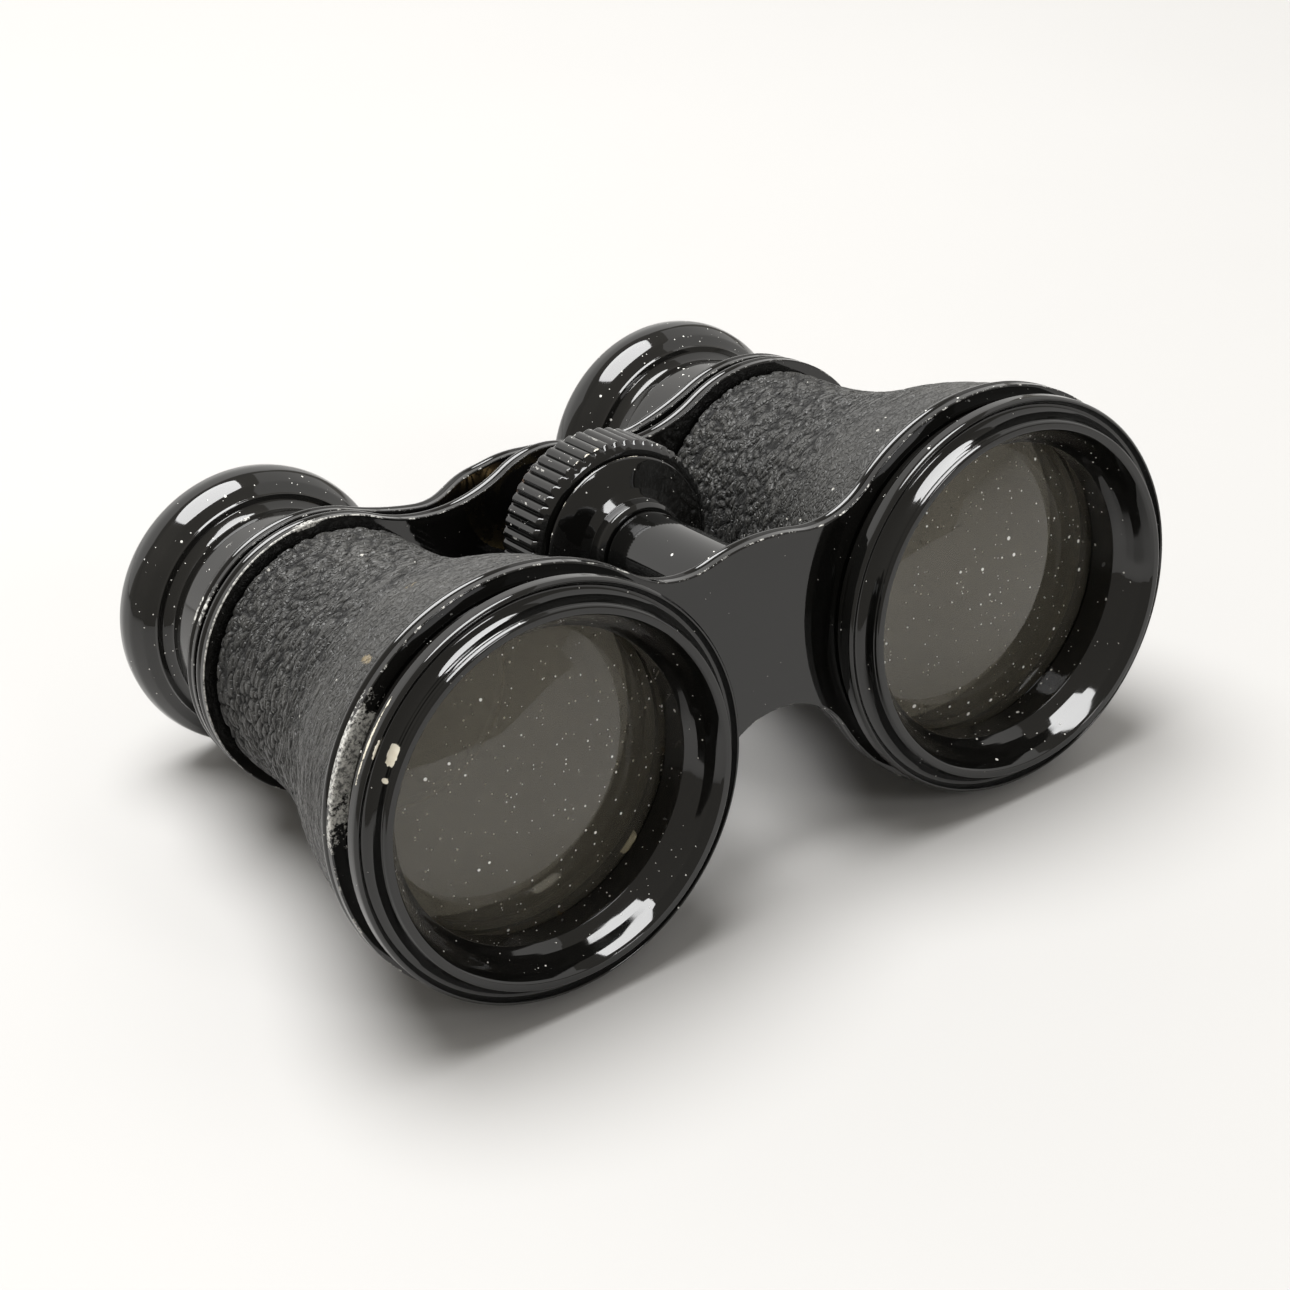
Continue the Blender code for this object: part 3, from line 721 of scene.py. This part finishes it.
def leather_piece(side, x):
    """Leather skin: folds run round the narrow waist and fade where it is stretched."""
    stations = 250
    front = BARREL_KNOTS[0][0]
    span = LEATHER_BACK - front
    outer = [(front + span * i / stations, barrel_radius(front + span * i / stations))
             for i in range(stations + 1)]
    outer = [(y, r - 0.35 * (near(y, front, 0.25) + near(y, LEATHER_BACK, 0.25))) for y, r in outer]
    inner = [(y, r - 0.65) for y, r in reversed(outer[::10])]
    skin_steps = 520
    folds = np.ones((len(outer) + len(inner), skin_steps))
    start = 50.0 if side == "right" else 0.0
    for i, (y, _) in enumerate(outer):
        for j in range(skin_steps):
            folds[i, j] = wrinkle_height(y + start, 2 * math.pi * j / skin_steps)

    def slack(y):
        return 0.22 + 0.78 / (1.0 + np.exp((17.0 - y) / 2.5))

    def swell(y, r, a):
        return 0.42 * slack(y) * (folds - 1.0)

    # The leather's look reads fold to paint sheen on the fold tops and shade in the creases.
    def fold(y, r, a):
        return 1.0 + slack(y) * (folds - 1.0)

    def scuff(y, r, a):
        if side == "right":
            return 0.0 * y
        edge = 0.45 * near(y, front, 1.6) * clock(a, 165, 40)
        return edge + 0.7 * spot(y, r, a, (8.6, 128), (1.4, 0.8)) + 0.6 * spot(y, r, a, (14.5, 103), (0.9, 1.2))

    lathe("leather_" + side, outer + inner, (x, 0.0), LEATHER, "body",
          ["leather_" + side], steps=skin_steps, swell=swell, paint={"fold": fold, "scuff": scuff}, hard=75)


def barrel_pieces(side, x):
    at = (x, 0.0)
    stations = [6.2 + (LEATHER_BACK - 6.2) * i / 24 for i in range(25)]
    outer = [(y, barrel_radius(y) - 0.85) for y in stations]
    inner = [(y, min(20.3, barrel_radius(y) - 1.55)) for y in reversed(stations)]
    shell = [(4.0, 21.1), (6.15, 21.1)] + outer + inner + [(4.0, 20.3)]
    lathe("barrel_" + side, shell, at, BLACKENED, "body", ["barrel_" + side])
    sleeve = [(36.0, 14.05), (46.6, 14.05), (46.6, 13.7), (49.2, 13.7), (49.2, 12.9), (36.0, 12.9)]
    lathe("guide_sleeve_" + side, refine(sleeve, True), at, BLACKENED, "body",
          ["guide_sleeve_" + side])


def edge_section(front, back, lip):
    """Edge of a plate from front to back: a square front lip, a groove and a round bead."""
    bead = (back - lip - 0.25) / 2
    middle = back - bead
    section = [(front, 1.2), (front, 0.45), (front, 0.28), (front, 0.12), (front + 0.03, 0.05)]
    section += [(front + 0.1, 0.0), (front + 0.22, 0.0), (lip - 0.06, 0.0), (lip, 0.06)]
    section += [(lip + 0.05, 0.3), (lip + 0.2, 0.34)]
    for i in range(9):
        angle = math.radians(-78 + 168 * i / 8)
        section.append((middle + bead * math.sin(angle), bead - bead * math.cos(angle)))
    return section + [(back, bead + 0.6)]


def plates():
    front_lip, rear_lip, eye_lip = PLATE_FRONT + 0.85, REAR_PLATE_FRONT + 0.8, EYE_PLATE_FRONT + 0.7
    sides = (-HALF_SPACING, HALF_SPACING)
    column = (0.0, COLUMN_Z)

    def left_clock(x, z, middle, width):
        """Share of a stretch of the left flange around one angle."""
        return clock(np.arctan2(z, x + HALF_SPACING), middle, width) * (x < -HALF_SPACING / 3)

    def corner(y, inset, front):
        return (y < front + 0.15) & (inset < 0.2)

    def dust(y, inset, x, z):
        return np.where((inset > 0.28) & (inset < 1.1), 0.8, 0.28)

    def front_wear(y, inset, x, z):
        dot = 0.8 * near(x, 3.0, 0.5) * near(z, -1.8, 0.5) * (y < front_lip)
        return dot

    def front_bare(y, inset, x, z):
        reach = left_clock(x, z, 155, 42)
        band = (0.80 * (y < front_lip) + 0.35 * (y >= front_lip)) * reach
        return np.maximum(band, 0.64 * corner(y, inset, PLATE_FRONT))

    def rear_bare(y, inset, x, z):
        line = corner(y, inset, REAR_PLATE_FRONT) * (0.62 + 0.30 * left_clock(x, z, 130, 55))
        patch = 0.76 * left_clock(x, z, 93, 11) * (y < rear_lip + 0.3) * (inset < 0.6)
        return np.maximum(line, patch)

    def eye_bare(y, inset, x, z):
        band = 0.66 * left_clock(x, z, 148, 48) * (inset < 0.1)
        return np.maximum(band, 0.62 * corner(y, inset, EYE_PLATE_FRONT))

    front = figure_of_eight(FRONT_FLANGE_R - 0.05, FRONT_DIP, FRONT_HUMP, FRONT_ARCH)
    holes = [circle((x, 0.0), 21.5, 160) for x in sides]
    plate("front_bridge", front, holes, edge_section(PLATE_FRONT, PLATE_BACK, front_lip), LACQUER,
          "body", ["front_bridge"],
          {"wear": front_wear, "bare": front_bare, "dust": dust})
    rear = figure_of_eight(REAR_FLANGE_R, REAR_DIP, REAR_HUMP, REAR_ARCH)
    holes = [circle((x, 0.0), 14.0, 120) for x in sides] + [circle(column, 3.1, 48)]
    plate("rear_bridge", rear, holes, edge_section(REAR_PLATE_FRONT, REAR_PLATE_BACK, rear_lip),
          LACQUER, "body", ["rear_bridge"],
          {"bare": rear_bare, "dust": dust})
    eye = figure_of_eight(EYE_FLANGE_R, EYE_DIP, EYE_HUMP, REAR_ARCH)
    holes = [circle((x, 0.0), 12.9, 120) for x in sides] + [circle(column, 2.3, 48)]
    plate("eyepiece_bridge", eye, holes, edge_section(EYE_PLATE_FRONT, EYE_PLATE_BACK, eye_lip),
          LACQUER, "carriage", ["eyepiece_bridge"],
          {"bare": eye_bare, "dust": dust}, bow)


def column_pieces():
    at = (0.0, COLUMN_Z)
    tube = rounded([(COLUMN_FRONT, COLUMN_R, 0.1), (COLUMN_BACK, COLUMN_R, 0.15),
                    (COLUMN_BACK, 4.2, 0.1), (COLUMN_FRONT, 4.2, 0)])
    lathe("column_tube", tube, at, LACQUER, "body", ["column_tube"],
          steps=SMALL_ROUND, paint={"dust": lambda y, r, a: 0.25})
    sleeve = rounded([(39.7, 5.0, 0.2), (46.6, 5.0, 0.1), (46.6, 3.2, 0), (39.7, 3.2, 0.1)])
    lathe("rear_sleeve", sleeve, at, LACQUER, "body", ["rear_sleeve"],
          steps=SMALL_ROUND, paint={"dust": lambda y, r, a: 0.7})
    washer = rounded([(38.8, 7.4, 0.15), (39.4, 7.4, 0.15), (39.4, 3.2, 0.05), (38.8, 3.2, 0.05)])
    lathe("wheel_washer", washer, at, BRASS, "body", ["wheel_washer"], steps=SMALL_ROUND)


# ---------------------------------------------------------------- focus wheel


def wheel_pieces():
    at = (0.0, COLUMN_Z)
    body = "focus wheel body"
    rim = rounded([
        (WHEEL_FRONT + 0.05, 10.75, 0.1),
        (WHEEL_FRONT + 0.15, 11.2, 0.3),
        (WHEEL_FRONT + 0.45, WHEEL_R - 0.45, 0.25),
        (WHEEL_FRONT + 0.9, WHEEL_R, 0.25),
        (WHEEL_BACK - 0.6, WHEEL_R, 0.3),
        (WHEEL_BACK, WHEEL_R - 0.6, 0.2),
        (WHEEL_BACK, 8.6, 0.1),
        (WHEEL_FRONT + 0.05, 8.6, 0.1),
    ])

    def teeth(y, r, a):
        phase = (a * WHEEL_TEETH / (2 * math.pi)) % 1.0
        rib = np.sqrt(np.abs(np.sin(math.pi * phase)))
        window = np.clip((r - (WHEEL_R - 0.55)) / 0.5, 0.0, 1.0) * (r > WHEEL_R - 0.6)
        return window * (0.5 * rib - 0.5)

    def wear(y, r, a):
        rib = r > WHEEL_R - 0.30
        return rib * line_wear(y, r, WHEEL_FRONT + 0.75, WHEEL_R, 0.34, 0.80) * (0.5 + 0.6 * clock(a, 103, 18))

    # Rib crests painted pale: worn bare metal, and also a painted highlight along each crest.
    def bare(y, r, a):
        return 0.60 * np.clip((r - (WHEEL_R - 0.07)) / 0.06, 0.0, 1.0)

    def rust(y, r, a):
        return line_wear(y, r, WHEEL_BACK - 0.3, WHEEL_R - 0.3, 0.8, 0.82) * clock(a, 133, 22)

    paint = {"wear": wear, "bare": bare, "rust": rust, "dust": lambda y, r, a: 0.4}
    lathe("focus_wheel", rim, at, LACQUER, body, ["focus_wheel"],
          steps=WHEEL_TEETH * 14, swell=teeth, paint=paint, hard=50)
    hub = rounded([
        (26.9, 5.5, 0.15),
        (27.4, 5.95, 0.3),
        (28.55, 6.15, 0.4),
        (28.75, 6.05, 0.1),
        (29.25, 7.2, 1.6),
        (29.85, 9.1, 1.8),
        (30.35, 10.5, 0.3),
        (30.7, 10.6, 0.1),
        (30.7, 8.3, 0),
        (38.4, 8.3, 0.1),
        (38.4, 4.6, 0.1),
        (26.9, 4.6, 0.1),
    ])

    def rim_line(y, r, a):
        return line_wear(y, r, 30.55, 10.56, 0.13, 0.72) * (0.7 + 0.3 * clock(a, 110, 60))

    paint = {"wear": rim_line, "dust": lambda y, r, a: 0.35 + 0.5 * clock(a, 30, 60)}
    lathe("wheel_hub", hub, at, LACQUER, body, ["wheel_hub"], steps=160, paint=paint)
    nut = rounded([(27.3, 4.3, 0.1), (38.2, 4.3, 0.1), (38.2, 2.8, 0.1), (27.3, 2.8, 0.1)])
    lathe("focus_nut", nut, at, BRASS, body, ["focus_nut"], steps=SMALL_ROUND)


# ---------------------------------------------------------------- carriage


def eyepiece_end(side, x):
    at = (x, 0.0)
    cup = rounded([
        (52.4, 14.9, 0.1),
        (53.1, 15.0, 0.3),
        (53.6, 14.7, 0.2),
        (53.8, 14.1, 0.15),
        (60.2, 14.0, 0.15),
        (60.6, 13.7, 0.15),
        (60.9, 13.4, 0.2),
        (62.4, 13.5, 1.0),
        (63.3, 14.3, 0.6),
        (63.4, 15.1, 0.1),
        (63.7, 15.2, 0.1),
        (64.6, 16.3, 1.0),
        (66.2, 17.25, 2.0),
        (EYECUP_RIM, EYECUP_R + 0.03, 3.0),
        (69.6, 17.2, 2.0),
        (71.0, 16.0, 1.5),
        (71.45, 14.6, 1.2),
        (70.9, 12.4, 2.5),
        (68.8, 8.9, 2.5),
        (67.6, 7.6, 0.3),
        (65.2, 7.6, 0.2),
        (65.2, 11.1, 0),
        (60.0, 11.1, 0),
        (60.0, 12.9, 0),
        (52.4, 12.9, 0),
    ])

    def wear(y, r, a):
        edges = line_wear(y, r, 63.5, 15.15, 0.12, 0.35) + line_wear(y, r, 52.9, 15.0, 0.2, 0.3)
        return edges

    def bare(y, r, a):
        if side == "right":
            return 0.0 * y
        patches = spot(y, r, a, (62.2, 97), (0.5, 1.2)) + spot(y, r, a, (58.1, 114), (0.9, 1.0))
        return 0.72 * patches * (r > 13.0)

    def dust(y, r, a):
        neck = np.where((y > 53.4) & (y < 66.0) & (r > 13), 0.9, 0.0)
        return 0.22 + neck

    lathe("eyecup_" + side, cup, at, LACQUER, "carriage", ["eyecup_" + side],
          paint={"wear": wear, "bare": bare, "dust": dust})
    draw = rounded([(30.0, 12.6, 0.1), (59.7, 12.6, 0.1), (59.7, 11.8, 0.1), (30.0, 11.8, 0.1)])
    lathe("draw_tube_" + side, draw, at, DRAWN, "carriage", ["draw_tube_" + side])
    cell = rounded([(60.3, 10.8, 0.1), (64.9, 10.8, 0.1), (64.9, 8.7, 0.1), (63.9, 8.7, 0.1),
                    (63.9, 9.9, 0.05), (60.3, 9.9, 0.1)])
    lathe("eyepiece_cell_" + side, cell, at, BLACKENED, "carriage",
          ["eyepiece_cell_" + side], steps=SMALL_ROUND)
    radius = (9.5**2 + 1.0) / 2
    rises = [(9.5 * i / 20, radius - math.sqrt(radius**2 - (9.5 * i / 20) ** 2)) for i in range(21)]
    front = [(61.6 - rise, r) for r, rise in rises]
    back = [(62.6 + rise, r) for r, rise in reversed(rises)]
    lathe("eyepiece_lens_" + side, front + back, at, EYE_GLASS, "carriage",
          ["eyepiece_lens_" + side], closed=False, steps=SMALL_ROUND)


def drive_pieces():
    at = (0.0, COLUMN_Z)
    rod = [(13.5, 0.0), (13.5, 1.9), (17.4, 1.9), (17.4, ROD_R), (55.2, ROD_R), (55.2, 2.0),
           (57.6, 2.0), (57.6, 1.3), (52.1, 1.3), (52.1, 0.0)]

    def thread(y, r, a):
        turns = y / THREAD_PITCH - a * THREAD_STARTS / (2 * math.pi)
        ridge = 2 * np.abs(turns % 1.0 - 0.5)
        cut = (y > 18.0) & (y < 54.6) & (r > ROD_R - 0.05)
        return np.where(cut, -0.32 * ridge, 0.0)

    lathe("focus_screw", refine(rod, False, 0.12), at, GREASED, "carriage",
          ["focus_screw"], steps=96, closed=False, swell=thread)
    stop = rounded([(14.0, 3.8, 0.15), (17.1, 3.8, 0.15), (17.1, 2.2, 0.1), (14.0, 2.2, 0.1)])
    lathe("stop_collar", stop, at, BRASS, "carriage", ["stop_collar"], steps=SMALL_ROUND)
    screw_head(at)


def screw_head(at):
    """Slotted screw that holds the rod to the eyepiece plate."""
    screw = rounded([(52.6, 0.0, 0), (52.6, 1.0, 0.1), (58.0, 1.0, 0), (58.0, 3.6, 0.1),
                     (58.8, 3.6, 0.2), (59.35, 3.0, 0.4), (59.5, 1.6, 1.0), (59.5, 0.0, 0)], closed=False)
    steps = SMALL_ROUND
    head = lathe("bridge_screw", screw, at, LACQUER, "carriage", ["bridge_screw"],
                 steps=steps, closed=False, paint={"wear": lambda y, r, a: 0.25 * near(y, 59.1, 0.3)})
    cutter_mesh = bpy.data.meshes.new("screw_slot")
    shape = bmesh.new()
    bmesh.ops.create_cube(shape, size=1.0, matrix=Matrix.Diagonal((9 * MM, 1.4 * MM, 0.8 * MM, 1.0)))
    shape.to_mesh(cutter_mesh)
    shape.free()
    cutter = bpy.data.objects.new("screw_slot", cutter_mesh)
    bpy.context.scene.collection.objects.link(cutter)
    cutter.matrix_world = PLACE @ Matrix.Translation((0.0, 59.5 * MM, COLUMN_Z * MM))
    slot = head.modifiers.new("slot", "BOOLEAN")
    slot.object = cutter
    bpy.context.view_layer.update()
    graph = bpy.context.evaluated_depsgraph_get()
    mesh = bpy.data.meshes.new_from_object(head.evaluated_get(graph))
    head.modifiers.clear()
    head.data = mesh
    bpy.data.objects.remove(cutter)


for side, x in (("left", -HALF_SPACING), ("right", HALF_SPACING)):
    objective_end(side, x)
    leather_piece(side, x)
    barrel_pieces(side, x)
    eyepiece_end(side, x)
plates()
column_pieces()
wheel_pieces()
drive_pieces()


# ---------------------------------------------------------------- table, light and camera


def table():
    mesh = bpy.data.meshes.new("table")
    shape = bmesh.new()
    corners = [(-3.0, -0.175), (-0.035, -0.175), (0.018, -0.170), (0.064, -0.212), (0.11, -0.25),
               (0.15, -0.252), (0.39, -0.60), (0.97, -1.27), (3.0, -3.5), (3.0, 4.0), (-3.0, 4.0)]
    shape.faces.new([shape.verts.new((x, y, 0.0)) for x, y in corners])
    shape.to_mesh(mesh)
    shape.free()
    mesh.materials.append(table_look())
    obj = bpy.data.objects.new("table", mesh)
    bpy.context.scene.collection.objects.link(obj)


def area_light(name, location, target, shape, size, watts):
    data = bpy.data.lights.new(name, "AREA")
    data.shape = shape
    data.size, data.size_y = size
    data.energy = watts
    obj = bpy.data.objects.new(name, data)
    bpy.context.scene.collection.objects.link(obj)
    obj.location = location
    obj.rotation_mode = "QUATERNION"
    obj.rotation_quaternion = (Vector(target) - Vector(location)).to_track_quat("-Z", "Y")
    return obj


def light_and_camera():
    scene = bpy.context.scene
    world = bpy.data.worlds.new("studio")
    scene.world = world
    world.use_nodes = True
    background = world.node_tree.nodes["Background"]
    background.inputs["Color"].default_value = (1.0, 0.95, 0.86, 1.0)
    background.inputs["Strength"].default_value = 0.34
    scene.view_settings.view_transform = "Standard"
    area_light("softbox", (-0.08, 0.23, 1.04), (-0.08, 0.23, 0.0), "ELLIPSE", (0.86, 0.88), 23)
    area_light("window", (0.19, -1.04, 0.60), (0.0, 0.0, 0.03), "RECTANGLE", (0.22, 0.26), 2.2)
    area_light("side", (1.7, -0.1, 0.9), (0.0, 0.1, 0.1), "RECTANGLE", (2.5, 2.5), 12)
    area_light("backdrop", (0.0, 1.6, 0.75), (0.0, 0.0, 0.75), "RECTANGLE", (3.2, 1.5), 11)
    data = bpy.data.cameras.new("camera")
    data.sensor_width = 36.0
    data.lens = 75.39
    camera = bpy.data.objects.new("camera", data)
    scene.collection.objects.link(camera)
    right = Vector((0.819096, -0.561251, -0.118659))
    up = Vector((0.335130, 0.300289, 0.893037))
    back = right.cross(up)
    turn = Matrix((right, up, back)).transposed().to_4x4()
    camera.matrix_world = PLACE @ Matrix.Translation(Vector((-147.471, -214.984, 133.153)) * MM) @ turn
    data.clip_start = 0.01
    data.clip_end = 20.0
    scene.camera = camera


table()
light_and_camera()
